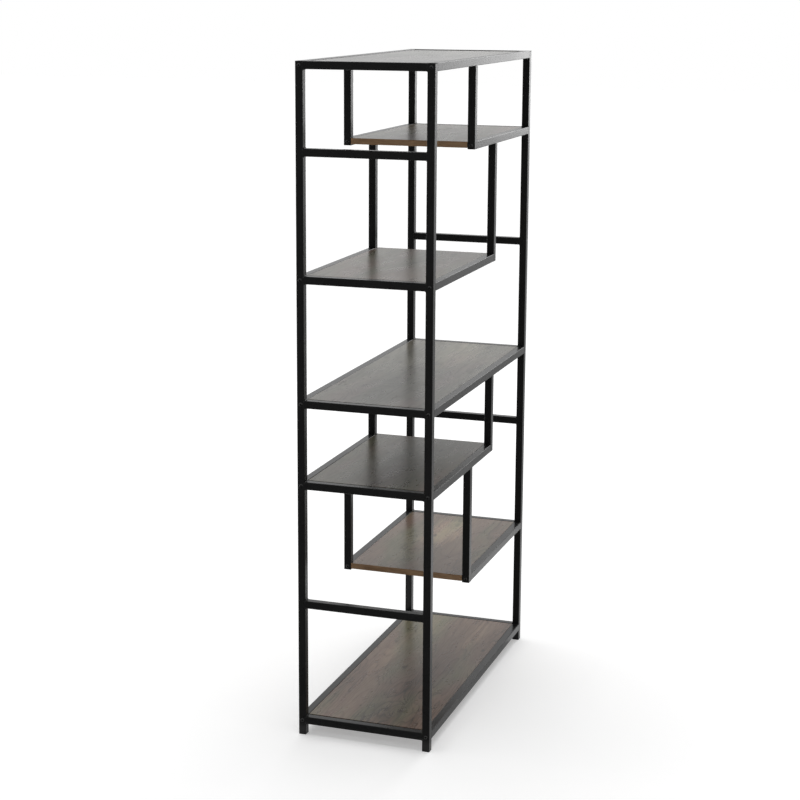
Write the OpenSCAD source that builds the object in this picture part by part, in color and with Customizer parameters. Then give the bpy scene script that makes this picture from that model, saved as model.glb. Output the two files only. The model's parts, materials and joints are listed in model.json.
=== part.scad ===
// Open bookcase: full-length and part-length shelves in a frame of square tube.
// The front is at -Y and the left end at -X. The origin is on the floor, below the middle.
// Levels are counted from the top, so level 1 is the top shelf and level 7 the bottom one.

/* [Frame] */
// Height of the frame above the floor
frame_h = 1750; // [1500:10:2200]
// Length of the frame along its front
frame_l = 900; // [760:10:1300]
// Depth of the frame from front to back
frame_d = 360; // [240:5:500]
// Height of the bottom rails above the floor
toe_h = 30; // [20:1:80]
// Step from rail top to rail top in the two low bays
low_step = 213; // [150:1:260]
// Distance from the middle of the length to the open end of a part-length shelf
open_end = 108; // [40:1:250]

/* [Tube] */
// Side of the square tube
tube = 20; // [20:1:30]
// Wall of the tube
tube_wall = 1.2; // [0.8:0.1:2]
// Radius along the outer edges of the tube
tube_edge = 1.5; // [0.5:0.1:2]

/* [Boards] */
// Thickness of a board
board_t = 16; // [12:0.5:16.5]
// Depth of the face of the top board below the tops of its rails
top_recess = 1.8; // [0:0.1:2]
// Depth of the face of every lower board below the tops of its rails
board_recess = 0.5; // [0:0.1:1.5]
// Thickness of the band on the open end of a part-length board
band_t = 1; // [0.5:0.1:2]
// Gap between a board and the rails beside it
side_gap = 0.5; // [0.2:0.1:3]
// Gap between a board and the crossbar at its left end
left_gap = 5; // [0.5:0.5:8]
// Gap between a board and the crossbar at its right end
right_gap = 0.5; // [0.2:0.1:3]

/* [Shelf tabs] */
// Thickness of a tab
tab_t = 2; // [1:0.5:3]
// Width of a tab
tab_w = 18; // [12:1:26]
// Distance from a rail to the screw in its tab
tab_reach = 14; // [10:1:30]
// Distance from the end of a board to its first screw
tab_inset = 90; // [50:5:150]
// Longest step between two tabs on one rail
tab_step = 400; // [150:10:600]

/* [Tab screws] */
// Diameter of a screw
screw_d = 3.5; // [2.5:0.1:5]
// Diameter of the head of a screw
screw_head_d = 8; // [6:0.1:11]
// Height of the head of a screw
screw_head_h = 2; // [1.4:0.1:3]
// Length of the crossed slots in the head of a screw
screw_slot_l = 4; // [2:0.1:5]
// Width of the crossed slots in the head of a screw
screw_slot_w = 1; // [0.6:0.1:1.8]
// Depth of the crossed slots in the head of a screw
screw_slot_h = 1; // [0.4:0.1:1.6]
// Wood left above the tip of a screw
screw_cover = 4; // [2:0.5:8]
// Gap round a screw in its hole
screw_gap = 0.05; // [0.02:0.01:0.3]

/* [Frame bolts] */
// Diameter of a bolt
bolt_d = 6; // [4:0.5:8]
// Diameter of the head of a bolt
bolt_head_d = 10.5; // [8:0.1:15]
// Height of the head of a bolt
bolt_head_h = 3.3; // [2.5:0.1:5]
// Width across the flats of the socket in the head of a bolt
bolt_key = 4; // [2:0.5:6]
// Depth of the socket in the head of a bolt
bolt_key_h = 2; // [1:0.1:3]
// Length of a bolt past its end plate
bolt_tail = 2; // [0.5:0.5:8]
// Gap round a bolt in a post or a hanger
bolt_gap = 0.25; // [0.1:0.05:0.6]
// Gap round a bolt in its end plate
thread_gap = 0.05; // [0.02:0.01:0.2]
// Thickness of the threaded plate in the end of a rail
end_plate_t = 4; // [2:0.5:10]

/* [Feet and plugs] */
// Height of a foot below its post
foot_h = 5; // [3:0.5:15]
// Chamfer round the sole of a foot
foot_chamfer = 1; // [0.4:0.1:2]
// Height of the cap of a plug
cap_t = 2; // [1:0.5:4]
// Chamfer round the cap of a plug
cap_chamfer = 0.4; // [0.2:0.1:0.8]
// Length of the stem of a foot inside its post
foot_stem = 12; // [6:1:20]
// Gap between the stem of a plug and the bolt that crosses its tube
plug_gap = 0.5; // [0.2:0.1:2]
// Wall of the stem of a foot or a plug
stem_wall = 2; // [1:0.5:4]
// Gap between a stem and the inside of its tube
stem_gap = 0.2; // [0.1:0.05:0.5]

/* [Hidden] */
$fn = 48;
eps = 0.01;

ends = ["left", "right"];
faces = ["front", "back"];
// What part of the length the shelf of each level covers
spans = ["full", "right", "left", "full", "left", "right", "full"];
levels = [1 : len(spans)];
part_levels = [for (i = levels) if (spans[i - 1] != "full") i];

black_paint = [0.09, 0.09, 0.09];
black_plastic = [0.13, 0.13, 0.13];
black_bolt = [0.16, 0.16, 0.17];
zinc = [0.62, 0.63, 0.64];
grey_wood = [0.47, 0.43, 0.39];
brown_band = [0.42, 0.32, 0.24];

tube_in = tube - 2 * tube_wall;
post_x = frame_l / 2 - tube / 2;
post_y = frame_d / 2 - tube / 2;
rail_in_y = frame_d / 2 - tube;
end_in_x = frame_l / 2 - tube;

// The stems of the plugs stop short of the bolts in the middle of the top rails and hangers
plug_stem = tube / 2 - bolt_d / 2 - plug_gap - cap_t;

// The tall bays share the height that the low bays leave
tall_step = (frame_h - toe_h - tube - 2 * low_step) / 4;
steps = [low_step, tall_step, tall_step, low_step, tall_step, tall_step];

// Sum of the first n steps
function drop(n) = n == 0 ? 0 : steps[n - 1] + drop(n - 1);

// Heights of a level: the top, the underside and the axis of its rails
function rail_top(i) = frame_h - drop(i - 1);
function rail_under(i) = rail_top(i) - tube;
function rail_axis(i) = rail_top(i) - tube / 2;

// Where the rails of a level start and end, between the posts or hangers that carry them
function rail_x0(i) = spans[i - 1] == "right" ? tube - open_end : -end_in_x;
function rail_x1(i) = spans[i - 1] == "left" ? open_end - tube : end_in_x;

// Where the board of a level starts and ends, its end band left out
function board_x0(i) = spans[i - 1] == "right" ? band_t - open_end : left_gap - end_in_x;
function board_x1(i) = spans[i - 1] == "left" ? open_end - band_t : end_in_x - right_gap;
board_y = rail_in_y - side_gap;
function recess(i) = i == 1 ? top_recess : board_recess;
function board_under(i) = rail_top(i) - recess(i) - board_t;
function tab_under(i) = board_under(i) - tab_t;

// Middle of the hangers of a part-length level
function hanger_x(i) = spans[i - 1] == "right" ? tube / 2 - open_end : open_end - tube / 2;

// Middles of the tabs along a rail, and of the screws in them
function tab_span(i) = board_x1(i) - board_x0(i) - 2 * tab_inset;
function tab_steps(i) = max(1, ceil(tab_span(i) / tab_step));
function tab_xs(i) = [
    for (n = [0 : tab_steps(i)]) board_x0(i) + tab_inset + n * tab_span(i) / tab_steps(i)
];
tab_y = rail_in_y - tab_reach;

function at_post(i, end) = end < 0 ? spans[i - 1] != "right" : spans[i - 1] != "left";
function sign_of(names, name) = name == names[0] ? -1 : 1;

// Square of the tube's outline, with its edges rounded
module rounded_square(side, edge) {
    union() {
        square([side - 2 * edge, side], center = true);
        square([side, side - 2 * edge], center = true);
        for (sx = [-1, 1], sy = [-1, 1])
            translate([sx, sy] * (side / 2 - edge)) circle(r = edge);
    }
}

// Tube standing on the XY plane
module tube_length(l) {
    linear_extrude(l) difference() {
        rounded_square(tube, tube_edge);
        square(tube_in, center = true);
    }
}

// Bolt hole through both walls of a tube, along X
module bolt_hole(z) {
    translate([0, 0, z]) rotate([0, 90, 0])
        cylinder(r = bolt_d / 2 + bolt_gap, h = tube + 2, center = true);
}

// Corner post, from its foot to its plug, drilled where a rail meets it
module post(end, face) {
    color(black_paint) translate([end * post_x, face * post_y, 0]) difference() {
        translate([0, 0, foot_h]) tube_length(frame_h - cap_t - foot_h);
        for (i = levels) if (at_post(i, end)) bolt_hole(rail_axis(i));
    }
}

// Tube between the two posts of one end
module crossbar(end, i) {
    color(black_paint) translate([end * post_x, -rail_in_y, rail_axis(i)])
        rotate([-90, 0, 0]) tube_length(2 * rail_in_y);
}

// Tube along the front or the back of one level
module rail(face, i) {
    color(black_paint) translate([rail_x0(i), face * post_y, rail_axis(i)])
        rotate([0, 90, 0]) tube_length(rail_x1(i) - rail_x0(i));
}

// Tube from the open end of a part-length level up to the rail of the level above
module hanger(face, i) {
    color(black_paint) translate([hanger_x(i), face * post_y, 0]) difference() {
        translate([0, 0, rail_under(i) + cap_t])
            tube_length(rail_under(i - 1) - rail_under(i) - cap_t);
        bolt_hole(rail_axis(i));
    }
}

// Cap with a chamfered rim above z = 0 and a hollow square stem below it
module plug(cap_h, chamfer, stem_l) {
    rim = chamfer * sqrt(2);
    stem = tube_in - 2 * stem_gap;
    difference() {
        linear_extrude(cap_h) rounded_square(tube, tube_edge);
        for (turn = [0 : 90 : 270])
            rotate([0, 0, turn]) translate([tube / 2, 0, cap_h]) rotate([0, 45, 0])
                cube([rim, tube + 2, rim], center = true);
    }
    translate([0, 0, -stem_l]) linear_extrude(stem_l + eps) difference() {
        square(stem, center = true);
        square(stem - 2 * stem_wall, center = true);
    }
}

// Foot of a corner post, with its chamfered sole on the floor
module foot(end, face) {
    color(black_plastic) translate([end * post_x, face * post_y, foot_h])
        rotate([180, 0, 0]) plug(foot_h, foot_chamfer, foot_stem);
}

// Board of one level, with a blind hole over each tab
module shelf_board(i) {
    color(grey_wood) difference() {
        translate([board_x0(i), -board_y, board_under(i)])
            cube([board_x1(i) - board_x0(i), 2 * board_y, board_t]);
        for (x = tab_xs(i), face = [-1, 1])
            translate([x, face * tab_y, board_under(i) - eps])
                cylinder(r = screw_d / 2 + screw_gap, h = board_t - screw_cover + screw_gap + eps);
    }
}

// Bands on the open ends of the part-length boards
module board_end_bands() {
    color(brown_band) for (i = part_levels)
        translate([spans[i - 1] == "right" ? -open_end : board_x1(i), -board_y, board_under(i)])
            cube([band_t, 2 * board_y, board_t]);
}

// One tab lying on the XY plane, its root on the X axis and its round nose towards +Y
module tab() {
    linear_extrude(tab_t) difference() {
        union() {
            translate([-tab_w / 2, 0]) square([tab_w, tab_reach]);
            translate([0, tab_reach]) circle(d = tab_w);
        }
        translate([0, tab_reach]) circle(r = screw_d / 2 + screw_gap);
    }
}

// Tabs welded to the inner sides of the rails
module shelf_tabs() {
    color(black_paint) for (i = levels, x = tab_xs(i), face = [-1, 1])
        translate([x, face * rail_in_y, tab_under(i)])
            mirror([0, face > 0 ? 1 : 0, 0]) tab();
}

// Domed head of a screw or bolt, hanging below the XY plane
module domed_head(d, h) {
    dome_r = (pow(d / 2, 2) + pow(h, 2)) / (2 * h);
    intersection() {
        translate([0, 0, dome_r - h]) sphere(r = dome_r);
        translate([0, 0, -2 * h]) cylinder(r = dome_r, h = 2 * h);
    }
}

// Screw along +Z, its cross-slotted head below the XY plane
module screw() {
    cylinder(d = screw_d, h = tab_t + board_t - screw_cover);
    difference() {
        domed_head(screw_head_d, screw_head_h);
        for (turn = [0, 90])
            rotate([0, 0, turn]) translate([0, 0, -screw_head_h])
                cube([screw_slot_l, screw_slot_w, 2 * screw_slot_h], center = true);
    }
}

// Screws up through the tabs into the boards
module tab_screws() {
    color(zinc) for (i = levels, x = tab_xs(i), face = [-1, 1])
        translate([x, face * tab_y, tab_under(i)]) screw();
}

// Threaded plate on the XY plane, as wide as the inside of the tube
module end_plate() {
    linear_extrude(end_plate_t) difference() {
        square(tube_in, center = true);
        circle(r = bolt_d / 2 + thread_gap);
    }
}

// Plates in both ends of every rail
module rail_end_plates() {
    color(zinc) for (i = levels, face = [-1, 1]) {
        translate([rail_x0(i), face * post_y, rail_axis(i)]) rotate([0, 90, 0]) end_plate();
        translate([rail_x1(i), face * post_y, rail_axis(i)]) rotate([0, -90, 0]) end_plate();
    }
}

// Button-head bolt along +Z, its head below the XY plane
module bolt() {
    cylinder(d = bolt_d, h = tube + end_plate_t + bolt_tail);
    difference() {
        domed_head(bolt_head_d, bolt_head_h);
        translate([0, 0, -bolt_head_h - eps])
            cylinder(d = bolt_key / cos(30), h = bolt_key_h + eps, $fn = 6);
    }
}

// Bolts of one level into one end of its two rails
module level_bolts(i, end) {
    x = end < 0 ? rail_x0(i) - tube : rail_x1(i) + tube;
    for (face = [-1, 1])
        translate([x, face * post_y, rail_axis(i)]) rotate([0, -end * 90, 0]) bolt();
}

// Bolts through the corner posts
module post_bolts() {
    color(black_bolt) for (i = levels, end = [-1, 1]) if (at_post(i, end)) level_bolts(i, end);
}

// Bolts through the hangers
module hanger_bolts() {
    color(black_bolt) for (i = levels, end = [-1, 1]) if (!at_post(i, end)) level_bolts(i, end);
}

// Plugs in the tops of the corner posts
module post_plugs() {
    color(black_plastic) for (end = [-1, 1], face = [-1, 1])
        translate([end * post_x, face * post_y, frame_h - cap_t]) plug(cap_t, cap_chamfer, plug_stem);
}

// Plugs in the bottoms of the hangers
module hanger_plugs() {
    color(black_plastic) for (i = part_levels, face = [-1, 1])
        translate([hanger_x(i), face * post_y, rail_under(i) + cap_t])
            rotate([180, 0, 0]) plug(cap_t, cap_chamfer, plug_stem);
}

for (e = ends, f = faces) {
    end = sign_of(ends, e);
    face = sign_of(faces, f);
    post(end, face);
    foot(end, face);
}
for (i = levels) {
    for (e = ends)
        crossbar(sign_of(ends, e), i);
    for (f = faces)
        rail(sign_of(faces, f), i);
    shelf_board(i);
}
for (i = part_levels, f = faces)
    hanger(sign_of(faces, f), i);
board_end_bands();
shelf_tabs();
tab_screws();
rail_end_plates();
post_bolts();
hanger_bolts();
post_plugs();
hanger_plugs();
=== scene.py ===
import json
import math
import random

import bmesh
import bpy
from mathutils import Matrix, Vector


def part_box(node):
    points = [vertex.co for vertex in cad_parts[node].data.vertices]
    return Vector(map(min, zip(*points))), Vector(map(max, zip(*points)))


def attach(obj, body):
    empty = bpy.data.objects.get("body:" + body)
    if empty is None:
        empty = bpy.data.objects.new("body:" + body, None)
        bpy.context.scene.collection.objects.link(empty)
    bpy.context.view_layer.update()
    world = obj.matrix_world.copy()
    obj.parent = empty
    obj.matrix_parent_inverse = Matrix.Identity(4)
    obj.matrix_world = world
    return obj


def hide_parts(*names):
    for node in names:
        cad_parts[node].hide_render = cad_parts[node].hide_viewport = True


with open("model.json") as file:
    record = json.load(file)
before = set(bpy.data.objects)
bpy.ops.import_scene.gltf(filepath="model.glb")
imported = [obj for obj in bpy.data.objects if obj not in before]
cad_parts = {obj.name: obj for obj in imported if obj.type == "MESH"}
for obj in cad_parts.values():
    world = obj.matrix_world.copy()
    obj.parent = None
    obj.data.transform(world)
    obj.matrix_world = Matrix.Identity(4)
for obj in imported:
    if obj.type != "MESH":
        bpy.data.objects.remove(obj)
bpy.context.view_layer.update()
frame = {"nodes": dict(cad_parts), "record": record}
nodes = frame["nodes"]
levels = range(1, 8)  # 1 is the top shelf
# the end where each short shelf stops in the open
openLevels = {2: "left", 3: "right", 5: "right", 6: "left"}


# small helpers that lay out shader nodes
def addNode(tree, kind, links=None, **settings):
    made = tree.nodes.new(kind)
    for name, value in settings.items():
        setattr(made, name, value)
    for socket, source in (links or {}).items():
        if isinstance(source, bpy.types.NodeSocket):
            tree.links.new(source, made.inputs[socket])
        else:
            made.inputs[socket].default_value = source
    return made


def mathNode(tree, operation, a, b=0.0, clamp=False):
    return addNode(tree, "ShaderNodeMath", {0: a, 1: b}, operation=operation, use_clamp=clamp).outputs[0]


def vectorNode(tree, operation, a, b):
    return addNode(tree, "ShaderNodeVectorMath", {0: a, 1: b}, operation=operation).outputs[0]


def scaleVector(tree, vector, factor):
    return addNode(
        tree, "ShaderNodeVectorMath", {0: vector, "Scale": factor}, operation="SCALE").outputs[0]


def vectorLength(tree, vector):
    return addNode(tree, "ShaderNodeVectorMath", {0: vector}, operation="LENGTH").outputs["Value"]


def mapRange(tree, value, low, high, first=0.0, last=1.0, **settings):
    # low becomes first and high becomes last
    return addNode(
        tree, "ShaderNodeMapRange",
        {"Value": value, "From Min": low, "From Max": high, "To Min": first, "To Max": last},
        **settings).outputs[0]


def mixColour(tree, factor, a, b, blend="MIX"):
    # sockets 6 and 7 are the two colours of a mix node, and output 2 is its colour
    return addNode(
        tree, "ShaderNodeMix", {"Factor": factor, 6: a, 7: b}, data_type="RGBA", blend_type=blend).outputs[2]


def grey(value):
    return (value, value, value, 1)


def greyRamp(tree, factor, stops):
    made = addNode(tree, "ShaderNodeValToRGB", {"Fac": factor})
    points = made.color_ramp.elements
    while len(points) < len(stops):
        points.new(0.5)
    for point, (place, shade) in zip(points, stops):
        point.position = place
        point.color = grey(shade)
    return made.outputs["Color"]


def stretchedNoise(tree, coordinate, stretch, detail=3, roughness=0.5, distortion=0.0):
    mapped = addNode(tree, "ShaderNodeMapping", {"Vector": coordinate, "Scale": stretch})
    return addNode(
        tree, "ShaderNodeTexNoise",
        {"Vector": mapped.outputs[0], "Scale": 1.0, "Detail": detail, "Roughness": roughness,
         "Distortion": distortion}).outputs["Fac"]


def swing(tree, field, width):
    # how far a noise field is from its middle, times width
    return mathNode(tree, "MULTIPLY", mathNode(tree, "SUBTRACT", field, 0.5), width)


def newGroup(name, inputs, outputs):
    tree = bpy.data.node_groups.new(name, "ShaderNodeTree")
    for label, kind, value in inputs:
        socket = tree.interface.new_socket(label, in_out="INPUT", socket_type="NodeSocket" + kind)
        socket.default_value = value
    for label, kind in outputs:
        tree.interface.new_socket(label, in_out="OUTPUT", socket_type="NodeSocket" + kind)
    return tree, tree.nodes.new("NodeGroupInput").outputs, tree.nodes.new("NodeGroupOutput").inputs


def placeGroup(tree, group, values):
    return addNode(tree, "ShaderNodeGroup", values, node_tree=group).outputs


# effects that several finishes share: stretch is how often a noise changes in a metre along x, y and z
edgeWear = {"patches": {"stretch": (26, 26, 26), "detail": 4, "roughness": 0.65}}


def makeEdgeMask():
    # up to 1 on the rounded edges of straight stock, 0 on its flat faces
    tree, given, result = newGroup(
        "edgeMask", [("Gain", "Float", 4.0), ("Breakup", "Float", 0.6)], [("Mask", "Float")])
    normal = addNode(tree, "ShaderNodeNewGeometry").outputs["True Normal"]
    largest = 0.0
    for part in addNode(tree, "ShaderNodeSeparateXYZ", {0: normal}).outputs:
        largest = mathNode(tree, "MAXIMUM", mathNode(tree, "ABSOLUTE", part), largest)
    bend = mathNode(tree, "MULTIPLY", mathNode(tree, "SUBTRACT", 1.0, largest), given["Gain"], clamp=True)
    place = addNode(tree, "ShaderNodeTexCoord").outputs["Object"]
    patches = stretchedNoise(tree, place, **edgeWear["patches"])
    uneven = mathNode(tree, "SUBTRACT", 1.0, mathNode(tree, "MULTIPLY", patches, given["Breakup"]))
    tree.links.new(mathNode(tree, "MULTIPLY", bend, uneven, clamp=True), result["Mask"])
    return tree


skinFields = {
    "peel": {"stretch": (700, 700, 700), "detail": 2, "roughness": 0.6},
    "cloud": {"stretch": (9, 9, 9), "detail": 3},
}


def makeCoatPeel():
    # the fine uneven skin of baked powder, moulded plastic and plating
    tree, given, result = newGroup(
        "coatPeel", [("Size", "Float", 1.0), ("Rough", "Float", 0.4), ("Spread", "Float", 0.1)],
        [("Height", "Float"), ("Roughness", "Float"), ("Tone", "Float")])
    place = scaleVector(tree, addNode(tree, "ShaderNodeTexCoord").outputs["Object"], given["Size"])
    peel = stretchedNoise(tree, place, **skinFields["peel"])
    cloud = stretchedNoise(tree, place, **skinFields["cloud"])
    rough = mathNode(tree, "ADD", given["Rough"], swing(tree, cloud, given["Spread"]), clamp=True)
    tree.links.new(peel, result["Height"])
    tree.links.new(rough, result["Roughness"])
    tree.links.new(cloud, result["Tone"])
    return tree


knotShape = {
    "squeeze": (1.0, 2.2, 0.0),  # narrower across the grain, and the same through the board
    "edge": {"stretch": (60, 160, 160), "detail": 2},
    "ragged": 0.9,
    "core": (0.35, 0.75),  # where the dark heart starts to fade and where it ends, in lengths
    "swell": 0.5,  # the larger, the closer to the knot the lines straighten
}


def makeKnot():
    # one knot of the print: Swell pushes the growth lines around it, Core is its dark heart
    tree, given, result = newGroup(
        "knot", [("Place", "Vector", (0, 0, 0)), ("Centre", "Vector", (0, 0, 0)), ("Length", "Float", 0.02)],
        [("Swell", "Float"), ("Core", "Float")])
    away = vectorNode(tree, "SUBTRACT", given["Place"], given["Centre"])
    away = vectorNode(tree, "MULTIPLY", away, knotShape["squeeze"])
    reach = mathNode(tree, "DIVIDE", vectorLength(tree, away), given["Length"])
    uneven = stretchedNoise(tree, given["Place"], **knotShape["edge"])
    ragged = mathNode(tree, "ADD", reach, swing(tree, uneven, knotShape["ragged"]))
    tree.links.new(mapRange(tree, ragged, *knotShape["core"], 1.0, 0.0), result["Core"])
    squared = mathNode(tree, "POWER", mathNode(tree, "MULTIPLY", reach, knotShape["swell"]), 2.0)
    tree.links.new(mathNode(tree, "DIVIDE", 1.0, mathNode(tree, "ADD", squared, 1.0)), result["Swell"])
    return tree


sheenPatchShape = {
    "flatten": (1.0, 1.0, 0.0),  # the same through the board
    "edge": {"stretch": (9, 60, 60), "detail": 3},
    "ragged": 1.2,
    "fade": (0.2, 1.1),  # where the patch starts to fade and where it ends, in half sizes
}


def makePaintedSheenPatch():
    # a soft lighter patch of painted sheen laid over the print, Reach is half its size along and across the
    # grain
    tree, given, result = newGroup(
        "paintedSheenPatch",
        [("Place", "Vector", (0, 0, 0)), ("Centre", "Vector", (0, 0, 0)), ("Reach", "Vector", (1, 1, 1))],
        [("Mask", "Float")])
    away = vectorNode(tree, "SUBTRACT", given["Place"], given["Centre"])
    away = vectorNode(tree, "MULTIPLY", away, sheenPatchShape["flatten"])
    away = vectorLength(tree, vectorNode(tree, "DIVIDE", away, given["Reach"]))
    uneven = stretchedNoise(tree, given["Place"], **sheenPatchShape["edge"])
    ragged = mathNode(tree, "ADD", away, swing(tree, uneven, sheenPatchShape["ragged"]))
    mask = mapRange(tree, ragged, *sheenPatchShape["fade"], 1.0, 0.0, interpolation_type="SMOOTHSTEP")
    tree.links.new(mask, result["Mask"])
    return tree


grainFields = {
    "clouds": {"stretch": (1.8, 9, 9), "detail": 3, "roughness": 0.55},
    "mottle": {"stretch": (13, 34, 34), "detail": 4, "roughness": 0.62},
    "streaks": {"stretch": (7, 210, 210), "detail": 4, "roughness": 0.6},
    "pores": {"stretch": (38, 620, 620), "detail": 2, "roughness": 0.5},
    "rings": {"stretch": (0.7, 8, 8), "detail": 2},
    "crack": {"stretch": (24, 90, 90), "detail": 3, "roughness": 0.7, "distortion": 0.8},
    "cluster": {"stretch": (6, 13, 13), "detail": 1},
    "hue": {"stretch": (2.6, 11, 11), "detail": 2},
}
# a range gives the two values of a field that become 0 and 1, a share is how much a field adds to the tone
woodPrint = {
    "sway": 0.03,  # how far the lines wander, metres
    "swayNoise": {"Scale": 5.0, "Detail": 3.0},
    "lines": 30.0,  # growth lines in the whole height of the slow field
    "lineShades": [(0.0, 0.22), (0.10, 0.60), (0.55, 0.62), (0.9, 0.42), (1.0, 0.22)],
    "poreShades": [(0.30, 0.75), (0.52, 1.0), (0.8, 1.08)],
    "crackRange": (0.585, 0.66),
    "clusterRange": (0.60, 0.68),
    "cloudShare": 0.36,
    "mottleShare": 0.16,
    "lineShare": 0.24,
    "streakShare": 0.24,
    "toneRange": (0.36, 0.64),
    "hueContrast": 6.0,
    "paleShare": 0.5,  # part of the pale colour in the lightest wood
    "crackDark": 0.75,
    "coreDark": 0.85,
    "mottleSheen": 0.12,
    "crackDull": 0.15,
    "crackDepth": 0.8,
}


def makeWoodGrain():
    # wood print: the grain runs along the X of Place, Shift picks another stretch of it
    tree, given, result = newGroup(
        "woodGrain",
        [("Place", "Vector", (0, 0, 0)), ("Shift", "Vector", (0, 0, 0)), ("Dark", "Color", grey(0.03)),
         ("Cool", "Color", grey(0.1)), ("Warm", "Color", grey(0.1)), ("Pale", "Color", grey(0.2)),
         ("Warmth", "Float", 0.5), ("Swell", "Float", 0.0), ("Core", "Float", 0.0), ("Checks", "Float", 1.0),
         ("Rough", "Float", 0.25)],
        [("Colour", "Color"), ("Roughness", "Float"), ("Height", "Float")])
    moved = vectorNode(tree, "ADD", given["Place"], given["Shift"])
    sway = addNode(tree, "ShaderNodeTexNoise", {"Vector": moved, **woodPrint["swayNoise"]}).outputs["Color"]
    sway = scaleVector(tree, vectorNode(tree, "SUBTRACT", sway, (0.5, 0.5, 0.5)), woodPrint["sway"])
    swayed = vectorNode(tree, "ADD", moved, sway)
    clouds, mottle, streaks, rings, crack = [
        stretchedNoise(tree, swayed, **grainFields[name])
        for name in ("clouds", "mottle", "streaks", "rings", "crack")]
    pores, cluster, hue = [
        stretchedNoise(tree, moved, **grainFields[name]) for name in ("pores", "cluster", "hue")]
    # growth lines are the contours of a slow field, which a knot raises
    height = mathNode(tree, "ADD", rings, given["Swell"])
    phase = mathNode(tree, "FRACT", mathNode(tree, "MULTIPLY", height, woodPrint["lines"]))
    lines = greyRamp(tree, phase, woodPrint["lineShades"])
    # checks: short dark cracks that come in clusters
    crack = mapRange(tree, crack, *woodPrint["crackRange"])
    crack = mathNode(tree, "MULTIPLY", crack, mapRange(tree, cluster, *woodPrint["clusterRange"]))
    crack = mathNode(tree, "MULTIPLY", crack, given["Checks"], clamp=True)
    tone = 0.0
    for field, share in ((clouds, "cloudShare"), (mottle, "mottleShare"), (lines, "lineShare"),
                         (streaks, "streakShare")):
        tone = mathNode(tree, "ADD", tone, mathNode(tree, "MULTIPLY", field, woodPrint[share]))
    level = mathNode(tree, "MULTIPLY", mapRange(tree, tone, *woodPrint["toneRange"]), 2.0)
    hue = mathNode(tree, "ADD", swing(tree, hue, woodPrint["hueContrast"]), given["Warmth"], clamp=True)
    # from dark up to the middle colour, and on towards pale
    middle = mixColour(tree, hue, given["Cool"], given["Warm"])
    lower = mixColour(tree, mathNode(tree, "MINIMUM", level, 1.0), given["Dark"], middle)
    lightest = mixColour(tree, woodPrint["paleShare"], middle, given["Pale"])
    body = mixColour(tree, mathNode(tree, "SUBTRACT", level, 1.0, clamp=True), lower, lightest)
    body = mixColour(tree, 1.0, body, greyRamp(tree, pores, woodPrint["poreShades"]), "MULTIPLY")
    body = mixColour(tree, mathNode(tree, "MULTIPLY", crack, woodPrint["crackDark"]), body, given["Dark"])
    inKnot = mathNode(tree, "MULTIPLY", given["Core"], woodPrint["coreDark"])
    tree.links.new(mixColour(tree, inKnot, body, given["Dark"]), result["Colour"])
    sheen = swing(tree, mottle, woodPrint["mottleSheen"])
    dulled = mathNode(tree, "ADD", sheen, mathNode(tree, "MULTIPLY", crack, woodPrint["crackDull"]))
    tree.links.new(mathNode(tree, "ADD", given["Rough"], dulled, clamp=True), result["Roughness"])
    sunk = mathNode(tree, "MAXIMUM", crack, given["Core"])
    sunk = mathNode(tree, "MULTIPLY", sunk, woodPrint["crackDepth"])
    tree.links.new(mathNode(tree, "SUBTRACT", pores, sunk), result["Height"])
    return tree


edgeMask = makeEdgeMask()
coatPeel = makeCoatPeel()
knot = makeKnot()
paintedSheenPatch = makePaintedSheenPatch()
woodGrain = makeWoodGrain()
print("shared effects built")


# finishes
def newFinish(name):
    made = bpy.data.materials.new(name)
    made.use_nodes = True
    tree = made.node_tree
    return made, tree, tree.nodes["Principled BSDF"]


def setSurface(tree, shader, surface, look):
    # roughness and bump come from a group's outputs, how strong they are from the values in look
    bump = addNode(
        tree, "ShaderNodeBump",
        {"Height": surface["Height"], "Strength": look["relief"], "Distance": look["reliefDepth"]})
    tree.links.new(bump.outputs[0], shader.inputs["Normal"])
    tree.links.new(surface["Roughness"], shader.inputs["Roughness"])
    shader.inputs["Specular IOR Level"].default_value = look["specular"]


def laySkin(tree, shader, look):
    # sets the surface of the uneven skin, and gives back its colour
    skin = placeGroup(
        tree, coatPeel, {"Size": look["size"], "Rough": look["rough"], "Spread": look["spread"]})
    setSurface(tree, shader, skin, look)
    return mixColour(tree, skin["Tone"], look["darker"], look["lighter"])


def wornEdge(tree, look):
    # how much of the wear colour shows, from 0 on flat faces up to wear on the edges
    mask = placeGroup(tree, edgeMask, {"Gain": look["wearGain"], "Breakup": look["wearBreakup"]})["Mask"]
    return mathNode(tree, "MULTIPLY", mask, look["wear"])


blackPowder = {
    "darker": grey(0.0112),
    "lighter": grey(0.0175),
    "rubbed": grey(0.025),
    "wear": 0.5,
    "wearGain": 3.0,
    "wearBreakup": 1.2,
    "size": 1.0,  # the larger, the finer the skin
    "rough": 0.275,
    "spread": 0.08,
    "specular": 0.19,
    "relief": 0.08,
    "reliefDepth": 0.0002,
}


def makeBlackPowder():
    made, tree, shader = newFinish("blackPowderCoat")
    tone = laySkin(tree, shader, blackPowder)
    colour = mixColour(tree, wornEdge(tree, blackPowder), tone, blackPowder["rubbed"])
    tree.links.new(colour, shader.inputs["Base Color"])
    return made


blackMoulded = {
    "darker": grey(0.0096),
    "lighter": grey(0.0156),
    "size": 1.8,
    "rough": 0.55,
    "spread": 0.12,
    "specular": 0.25,
    "relief": 0.2,
    "reliefDepth": 0.0002,
}


def makeBlackMoulded():
    made, tree, shader = newFinish("blackMouldedPlastic")
    tree.links.new(laySkin(tree, shader, blackMoulded), shader.inputs["Base Color"])
    return made


blackBolt = {
    "darker": grey(0.0077),
    "lighter": grey(0.0154),
    "size": 2.5,
    "rough": 0.2,
    "spread": 0.1,
    "specular": 0.3,
    "relief": 0.1,
    "reliefDepth": 0.0001,
}


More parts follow.
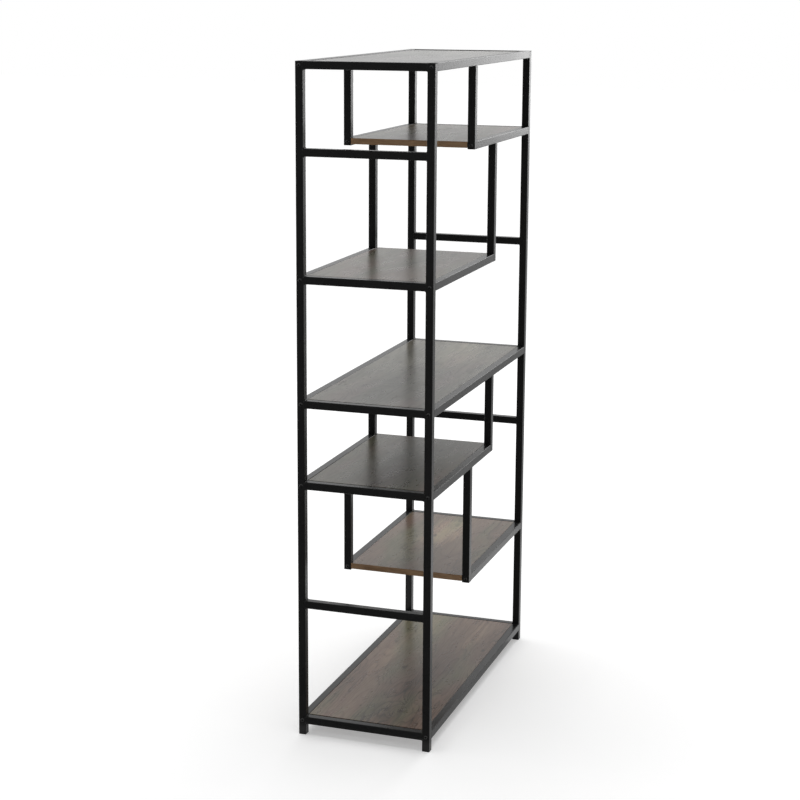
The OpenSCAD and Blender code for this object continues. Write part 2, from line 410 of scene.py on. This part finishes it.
def makeBlackBolt():
    made, tree, shader = newFinish("blackBoltSteel")
    tree.links.new(laySkin(tree, shader, blackBolt), shader.inputs["Base Color"])
    return made


zincPlate = {
    "darker": (0.40, 0.41, 0.42, 1),
    "lighter": (0.56, 0.57, 0.58, 1),
    "size": 3.0,
    "rough": 0.34,
    "spread": 0.25,
    "specular": 0.5,
    "relief": 0.08,
    "reliefDepth": 0.0001,
}


def makeZincPlate():
    made, tree, shader = newFinish("zincPlate")
    tree.links.new(laySkin(tree, shader, zincPlate), shader.inputs["Base Color"])
    shader.inputs["Metallic"].default_value = 1.0
    return made


laminate = {
    "dark": (0.040, 0.032, 0.026, 1),
    "cool": (0.132, 0.1255, 0.093, 1),  # olive grey
    "warm": (0.161, 0.1225, 0.104, 1),  # rosy brown
    "pale": (0.290, 0.250, 0.205, 1),
    "wear": 0.5,
    "wearGain": 3.0,
    "wearBreakup": 0.8,
    "rough": 0.285,
    "specular": 0.24,
    "relief": 0.05,
    "reliefDepth": 0.0002,
    "knotSwell": 0.3,
    "paintedSheenGain": (1.98, 2.02, 1.88, 1),  # how much lighter the patches are at full strength
    # painted sheen: lighter patches on some levels, mostly toward the far ends of the boards: x, y, half
    # length, half width, strength
    "paintedSheenPatches": {
        1: [(0.32, 0.0, 0.36, 0.32, 0.3)],
        4: [(0.27, -0.04, 0.26, 0.085, 0.6)],
        6: [(0.27, 0.005, 0.17, 0.065, 1.0)],
        7: [
            (0.27, -0.085, 0.16, 0.035, 0.45), (0.34, 0.06, 0.14, 0.045, 0.35),
            (0.06, 0.105, 0.2, 0.035, 0.35)],
    },
    # the print of each level: stretch of it, warmth, richness and lightness, which is painted light and
    # shade, a lighter or darker copy of the same laminate, darkest on the shaded level 5
    "prints": {
        1: ((0.0, 0.0, 0.3), 0.3, 0.2, 1.0),
        2: ((3.1, 0.7, 0.6), 0.4, 1.1, 1.0),
        3: ((6.1, 1.9, -1.0), 0.4, 1.1, 0.93),
        4: ((11.2, 2.6, 1.2), -0.05, 0.8, 0.98),
        5: ((15.9, 3.3, 1.5), -0.05, 1.15, 0.81),
        6: ((19.3, 4.8, 1.8), 0.8, 1.38, 1.03),
        7: ((24.6, 5.1, 2.1), 0.8, 1.42, 1.03),
    },
    # knots on each level: x, y, length
    "knots": {
        1: [(-0.02, 0.09, 0.03), (0.24, -0.07, 0.02)],
        2: [(0.31, 0.06, 0.02)],
        3: [(0.05, -0.08, 0.025), (-0.26, 0.08, 0.015)],
        4: [(-0.10, 0.03, 0.022), (-0.22, 0.08, 0.03), (0.10, 0.09, 0.018)],
        5: [(-0.02, -0.07, 0.024), (-0.09, 0.06, 0.018)],
        6: [(0.22, 0.02, 0.02)],
        7: [(-0.02, 0.03, 0.028), (0.18, -0.14, 0.02), (-0.33, -0.06, 0.022)],
    },
}


def makeLaminate(level):
    made, tree, shader = newFinish(f"greyOakLaminate_{level}")
    shift, warmth, richness, paintedShadeValue = laminate["prints"][level]
    place = addNode(tree, "ShaderNodeTexCoord").outputs["Object"]
    swell, core = 0.0, 0.0
    for x, y, length in laminate["knots"][level]:
        one = placeGroup(tree, knot, {"Place": place, "Centre": (x, y, 0), "Length": length})
        swell = mathNode(tree, "ADD", one["Swell"], swell)
        core = mathNode(tree, "MAXIMUM", one["Core"], core)
    grain = placeGroup(
        tree, woodGrain,
        {"Place": place, "Shift": shift, "Dark": laminate["dark"], "Cool": laminate["cool"],
         "Warm": laminate["warm"], "Pale": laminate["pale"], "Warmth": warmth,
         "Swell": mathNode(tree, "MULTIPLY", swell, laminate["knotSwell"]), "Core": core,
         "Rough": laminate["rough"]})
    # Value darkens or lightens each level's copy of the laminate: painted shade and light
    colour = addNode(
        tree, "ShaderNodeHueSaturation",
        {"Color": grain["Colour"], "Saturation": richness, "Value": paintedShadeValue}).outputs["Color"]
    # painted sheen: the board is lightened in patches where it would catch more light
    for x, y, length, width, strength in laminate["paintedSheenPatches"].get(level, []):
        lit = placeGroup(
            tree, paintedSheenPatch, {"Place": place, "Centre": (x, y, 0), "Reach": (length, width, 1)})["Mask"]
        lighter = mixColour(tree, 1.0, colour, laminate["paintedSheenGain"], "MULTIPLY")
        colour = mixColour(tree, mathNode(tree, "MULTIPLY", lit, strength), colour, lighter)
    colour = mixColour(tree, wornEdge(tree, laminate), colour, laminate["pale"])
    tree.links.new(colour, shader.inputs["Base Color"])
    setSurface(tree, shader, grain, laminate)
    return made


brownEdging = {
    "dark": (0.170, 0.100, 0.052, 1),
    "middle": (0.275, 0.168, 0.092, 1),
    "pale": (0.400, 0.260, 0.150, 1),
    "shift": (2.0, 5.0, 1.0),
    "rough": 0.35,
    "specular": 0.2,
    "relief": 0.06,
    "reliefDepth": 0.0002,
}


def makeBrownEdging():
    made, tree, shader = newFinish("brownEndBand")
    # turned a quarter round, so that the grain runs along the band
    place = addNode(tree, "ShaderNodeTexCoord").outputs["Object"]
    turned = addNode(tree, "ShaderNodeMapping", {"Vector": place, "Rotation": (0, 0, math.pi / 2)}).outputs[0]
    grain = placeGroup(
        tree, woodGrain,
        {"Place": turned, "Shift": brownEdging["shift"], "Dark": brownEdging["dark"],
         "Cool": brownEdging["middle"], "Warm": brownEdging["middle"], "Pale": brownEdging["pale"],
         "Checks": 0.0, "Rough": brownEdging["rough"]})
    tree.links.new(grain["Colour"], shader.inputs["Base Color"])
    setSurface(tree, shader, grain, brownEdging)
    return made


powderFinish = makeBlackPowder()
mouldedFinish = makeBlackMoulded()
boltFinish = makeBlackBolt()
zincFinish = makeZincPlate()
bandFinish = makeBrownEdging()
print("finishes built")


# metal and plastic keep their own solids and take a finish
finishOf = {"frame": powderFinish, "plastic": mouldedFinish, "bolt": boltFinish, "zinc": zincFinish}
slotOf = {part["node"]: part["material_slot"] for part in frame["record"]["subparts"]}
for name, piece in nodes.items():
    if slotOf[name] in finishOf:
        piece.data.materials.clear()
        piece.data.materials.append(finishOf[slotOf[name]])
print("metal and plastic finished")


# boards and their end bands
def addObject(name, data):
    made = bpy.data.objects.new(name, data)
    bpy.context.collection.objects.link(made)
    return made


def addBlock(mesh, low, high):
    corners = [
        mesh.verts.new((x, y, z)) for x in (low.x, high.x) for y in (low.y, high.y) for z in (low.z, high.z)]
    for ring in ((0, 1, 3, 2), (4, 6, 7, 5), (0, 4, 5, 1), (2, 3, 7, 6), (0, 2, 6, 4), (1, 5, 7, 3)):
        mesh.faces.new([corners[i] for i in ring])


def placeMesh(name, mesh, finish):
    # turns a finished bmesh into an object of the scene
    data = bpy.data.meshes.new(name)
    mesh.to_mesh(data)
    mesh.free()
    data.materials.append(finish)
    return addObject(name, data)


def softBlock(name, low, high, edge, finish):
    mesh = bmesh.new()
    addBlock(mesh, low, high)
    bmesh.ops.recalc_face_normals(mesh, faces=mesh.faces)
    bmesh.ops.bevel(mesh, geom=list(mesh.edges), offset=edge, segments=2, profile=0.5, affect="EDGES")
    for face in mesh.faces:
        face.smooth = True
    made = placeMesh(name, mesh, finish)
    made.modifiers.new("flatFaces", "WEIGHTED_NORMAL")
    return made


boards = {"edge": 0.0004}
endBands = {"edge": 0.0003, "thickness": 0.001}

for level in levels:
    node = f"shelf_board_{level}"
    low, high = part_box(node)
    board = softBlock(f"laminatedBoard_{level}", low, high, boards["edge"], makeLaminate(level))
    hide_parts(node)
    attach(board, "root")
    if level in openLevels:
        # the band is glued on the end face of the board
        if openLevels[level] == "left":
            near, far = low.x - endBands["thickness"], low.x
        else:
            near, far = high.x, high.x + endBands["thickness"]
        band = softBlock(
            f"endBand_{level}", Vector((near, low.y, low.z)), Vector((far, high.y, high.z)),
            endBands["edge"], bandFinish)
        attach(band, "root")
        if level == min(openLevels):
            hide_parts("board_end_bands")
print("boards laid in")


# welds: a rippled bead in each inner corner, and a ground strip where two tubes lie flush
welds = {
    "seed": 7,
    "short": 0.001,  # how far a weld stops from the edge of its tube
    "tubeEdge": 0.0015,  # radius of the rounded edge of a tube
    # bead
    "leg": 0.0022,
    "legVaries": 0.08,  # part of the leg
    "bulge": 0.0005,
    "ripple": 0.045,  # part of the leg
    "pitch": 0.0017,  # from ripple to ripple
    "firstRipple": 6.28,  # the first one starts up to this far round, radians
    "rippleSteps": 4,
    "arcPoints": 6,
    "endLeg": 0.55,  # part of the leg at the very end
    "endRise": 6,  # how fast the leg grows from there, in legs over the whole length
    "sunk": 0.3,  # part of the leg that lies inside the tubes
    # ground strip
    "proud": 0.00012,  # its height at the crest
    "crest": 0.5,  # where the crest is, part of the rounded edge
    "firstLip": 0.6,  # height where it starts, part of proud
    "lastLip": 0.5,
    "lipOut": 0.0001,  # how far the lips are past the rounded edge
    "overlap": 0.0005,  # how far the strip runs on inside the tubes
    "stripSteps": 4,
}
chance = random.Random(welds["seed"])
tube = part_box("left_crossbar_2")[1].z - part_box("left_crossbar_2")[0].z


def addStrip(mesh, start, end, across, away, rings):
    # joins rings of (across, away) offsets into one closed strip from start to end
    rows = []
    for i, ring in enumerate(rings):
        place = start.lerp(end, i / (len(rings) - 1))
        rows.append([mesh.verts.new(place + across * a + away * b) for a, b in ring])
    for row, beyond in zip(rows, rows[1:]):
        for i in range(len(row)):
            k = (i + 1) % len(row)
            mesh.faces.new((row[i], row[k], beyond[k], beyond[i]))
    mesh.faces.new(rows[0])
    mesh.faces.new(rows[-1])


def addBead(mesh, start, end, across, away):
    # start and end lie in the corner, across and away run out of it along the two tubes
    length = (end - start).length
    turn = chance.uniform(0, welds["firstRipple"])
    size = welds["leg"] * chance.uniform(1 - welds["legVaries"], 1 + welds["legVaries"])
    sunk = -welds["sunk"] * welds["leg"]
    steps = round(length / welds["pitch"]) * welds["rippleSteps"]
    rings = []
    for i in range(steps + 1):
        t = i / steps
        wave = math.sin(turn + 2 * math.pi * t * length / welds["pitch"])
        taper = min(1.0, welds["endLeg"] + welds["endRise"] * min(t, 1 - t))
        leg = size * (1 + welds["ripple"] * wave) * taper
        arc = []
        for k in range(welds["arcPoints"]):
            angle = math.pi / 2 * k / (welds["arcPoints"] - 1)
            reach = leg / (math.cos(angle) + math.sin(angle)) + welds["bulge"] * math.sin(2 * angle)
            arc.append((reach * math.cos(angle), reach * math.sin(angle)))
        rings.append([(sunk, sunk), (leg, sunk)] + arc + [(sunk, leg)])
    addStrip(mesh, start, end, across, away, rings)


def addGroundStrip(mesh, start, end, across, away):
    # start and end lie on the joint, across runs over the rounded edge and away out of the face
    edge, proud, lipOut, overlap = welds["tubeEdge"], welds["proud"], welds["lipOut"], welds["overlap"]
    first, last = proud * welds["firstLip"], proud * welds["lastLip"]
    ring = [
        (-overlap, -edge), (-overlap, -first), (-lipOut, first), (edge * welds["crest"], proud),
        (edge + lipOut, last), (edge + overlap, -first), (edge + overlap, -edge)]
    addStrip(mesh, start, end, across, away, [ring] * (welds["stripSteps"] + 1))


def layWeld(add, mesh, middle, along, across, away):
    # add lays a bead or a ground strip half its length to each side of middle
    reach = along * (tube / 2 - welds["short"])
    add(mesh, middle - reach, middle + reach, across, away)


def finishWelds(name, mesh):
    bmesh.ops.recalc_face_normals(mesh, faces=mesh.faces)
    for face in mesh.faces:
        face.smooth = len(face.verts) == 4  # the end caps stay flat
    made = placeMesh(name, mesh, powderFinish)
    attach(made, "root")


xAxis, yAxis, zAxis = Vector((1, 0, 0)), Vector((0, 1, 0)), Vector((0, 0, 1))
for end in ("left", "right"):
    mesh = bmesh.new()
    for level in levels:
        low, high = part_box(f"{end}_crossbar_{level}")
        middle = (low + high) / 2
        for y, inward in ((low.y, yAxis), (high.y, -yAxis)):
            layWeld(addBead, mesh, Vector((middle.x, y, low.z)), xAxis, inward, -zAxis)
            if level > 1:
                layWeld(addBead, mesh, Vector((middle.x, y, high.z)), xAxis, inward, zAxis)
            for x, outward in ((low.x, -xAxis), (high.x, xAxis)):
                layWeld(addGroundStrip, mesh, Vector((x, y, middle.z)), zAxis, -inward, outward)
    finishWelds(f"{end}CrossbarWelds", mesh)
mesh = bmesh.new()
for level in openLevels:
    for side in ("front", "back"):
        low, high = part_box(f"{side}_hanger_{level}")
        middle = (low + high) / 2
        for x, outward in ((low.x, -xAxis), (high.x, xAxis)):
            layWeld(addBead, mesh, Vector((x, middle.y, high.z)), yAxis, outward, -zAxis)
        for y, outward in ((low.y, -yAxis), (high.y, yAxis)):
            layWeld(addGroundStrip, mesh, Vector((middle.x, y, high.z)), xAxis, zAxis, outward)
finishWelds("hangerWelds", mesh)
print("welds laid")


# studio
studio = {
    "ambient": 0.34,  # soft light from all round
    "background": 1.0,  # 1 is white
    "sky": 1.85,
    "skySpread": 70,  # degrees
    "skyTurn": (-8, 15, 0),  # degrees
    "floorSize": 60.0,
    "floorColour": 0.8,
    "floorLift": 0.34,  # brings the lit floor up to white, and leaves the shadow
}


def seenDirectly(tree):
    # 1 for what the camera sees straight, in gloss and through glass
    path = addNode(tree, "ShaderNodeLightPath").outputs
    seen = mathNode(tree, "ADD", path["Is Camera Ray"], path["Is Glossy Ray"])
    return mathNode(tree, "ADD", seen, path["Is Transmission Ray"], clamp=True)


def makeWorld():
    world = bpy.data.worlds.new("studioWorld")
    world.use_nodes = True
    tree = world.node_tree
    tree.nodes.clear()
    soft = addNode(tree, "ShaderNodeBackground", {"Color": grey(1), "Strength": studio["ambient"]})
    white = addNode(tree, "ShaderNodeBackground", {"Color": grey(1), "Strength": studio["background"]})
    both = addNode(
        tree, "ShaderNodeMixShader", {0: seenDirectly(tree), 1: soft.outputs[0], 2: white.outputs[0]})
    addNode(tree, "ShaderNodeOutputWorld", {"Surface": both.outputs[0]})
    bpy.context.scene.world = world


def bareFinish(name):
    # a material with no shader yet
    made = bpy.data.materials.new(name)
    made.use_nodes = True
    made.node_tree.nodes.clear()
    return made, made.node_tree


def flatSheet(name, corners, finish, faces):
    data = bpy.data.meshes.new(name)
    data.from_pydata(corners, [], faces)
    data.materials.append(finish)
    made = addObject(name, data)
    return made


def makeFloor():
    finish, tree = bareFinish("paleFloor")
    matt = addNode(tree, "ShaderNodeBsdfDiffuse", {"Color": grey(studio["floorColour"])})
    strength = mathNode(tree, "MULTIPLY", seenDirectly(tree), studio["floorLift"])
    lift = addNode(tree, "ShaderNodeEmission", {"Color": grey(1), "Strength": strength})
    both = addNode(tree, "ShaderNodeAddShader", {0: matt.outputs[0], 1: lift.outputs[0]})
    addNode(tree, "ShaderNodeOutputMaterial", {"Surface": both.outputs[0]})
    half = studio["floorSize"] / 2
    corners = [(-half, -half, 0), (half, -half, 0), (half, half, 0), (-half, half, 0)]
    flatSheet("paleFloor", corners, finish, [(0, 1, 2, 3)])


def makeSoftSky():
    data = bpy.data.lights.new("softSky", "SUN")
    data.energy = studio["sky"]
    data.angle = math.radians(studio["skySpread"])
    lamp = addObject("softSky", data)
    lamp.rotation_euler = [math.radians(turn) for turn in studio["skyTurn"]]
    lamp.visible_glossy = False


softbox = {
    "place": Vector((4.6, -0.84, 2.54)),
    "aim": Vector((0, 0, 1.4)),
    "width": 1.35,
    "height": 2.85,
    "radiance": 3.5,
}


def makeSoftbox():
    data = bpy.data.lights.new("farRightSoftbox", "AREA")
    data.shape = "RECTANGLE"
    data.size, data.size_y = softbox["width"], softbox["height"]
    data.energy = softbox["radiance"] * math.pi * softbox["width"] * softbox["height"]
    lamp = addObject("farRightSoftbox", data)
    lamp.location = softbox["place"]
    lamp.rotation_euler = (softbox["aim"] - softbox["place"]).to_track_quat("-Z", "Y").to_euler()
    lamp.visible_camera = False


# painted reflections: glowing sheets that only gloss can see, darker or lighter stand-ins for the
# surroundings that the metal and boards reflect; how bright each one looks, and its two long edges point by
# point
paintedReflectionCards = {
    "nearCard": (0.05, [
        ((-0.5, -3.5, 0.004), (-0.5, 3.5, 0.004)),
        ((-7.5, -5.5, 0.004), (-7.5, 7.5, 0.004)),
        ((-7.5, -5.5, 6.0), (-7.5, 7.5, 6.0)),
    ]),
    "farRightCard": (0.62, [
        ((1.6, -1.6, 0.003), (1.6, 0.0, 0.003)),
        ((2.3, -1.6, 0.003), (2.3, 0.0, 0.003)),
        ((2.3, -1.6, 0.6), (2.3, 0.0, 0.6)),
    ]),
    "upperRightCard": (0.75, [
        ((2.3, -1.6, 0.6), (2.3, 0.0, 0.6)),
        ((2.3, -1.6, 1.05), (2.3, 0.0, 1.05)),
    ]),
    "frontCard": (0.42, [
        ((2.28, -1.6, 0.2), (2.28, -1.0, 0.2)),
        ((2.28, -1.6, 0.75), (2.28, -1.0, 0.75)),
    ]),
    # painted shadow: the floor's shade just in front of the shelf, as the lower rails reflect it
    "floorCard": (0.5, [
        ((-0.4, -0.45, 0.003), (-0.4, -0.185, 0.003)),
        ((0.4, -0.45, 0.003), (0.4, -0.185, 0.003)),
    ]),
}


def makePaintedReflectionCard(name, shade, strip):
    finish, tree = bareFinish(name)
    # the card glows at its shade though it is no lamp: a painted reflection
    glow = addNode(tree, "ShaderNodeEmission", {"Color": grey(1), "Strength": shade})
    addNode(tree, "ShaderNodeOutputMaterial", {"Surface": glow.outputs[0]})
    corners = [point for pair in strip for point in pair]
    faces = [(2 * i, 2 * i + 1, 2 * i + 3, 2 * i + 2) for i in range(len(strip) - 1)]
    card = flatSheet(name, corners, finish, faces)
    card.visible_camera = False
    card.visible_diffuse = False
    card.visible_shadow = False


makeWorld()
makeFloor()
makeSoftSky()
makeSoftbox()
for name, (shade, strip) in paintedReflectionCards.items():
    makePaintedReflectionCard(name, shade, strip)
print("studio lit")


# camera
view = {
    "place": (-4.674, -1.518, 1.935),
    "turn": 0.3391,  # from +X towards +Y, radians
    "tilt": -0.2041,
    "roll": 0.0025,
    "lens": 82.81,
    "sensor": 36.0,
    "shiftX": 0.0320,
    "shiftY": -0.0445,
    "nearest": 0.05,
    "farthest": 100.0,
}


def placeCamera():
    data = bpy.data.cameras.new("shopCamera")
    data.lens, data.sensor_width = view["lens"], view["sensor"]
    data.shift_x, data.shift_y = view["shiftX"], view["shiftY"]
    data.clip_start, data.clip_end = view["nearest"], view["farthest"]
    camera = addObject("shopCamera", data)
    # a camera looks down and has to be raised a quarter turn
    turned = Matrix.Rotation(view["turn"] - math.pi / 2, 4, "Z")
    tilted = Matrix.Rotation(math.pi / 2 + view["tilt"], 4, "X")
    rolled = Matrix.Rotation(view["roll"], 4, "Z")
    camera.matrix_world = Matrix.Translation(view["place"]) @ turned @ tilted @ rolled
    bpy.context.scene.camera = camera


placeCamera()
bpy.context.scene.view_settings.view_transform = "Standard"
print("camera placed")
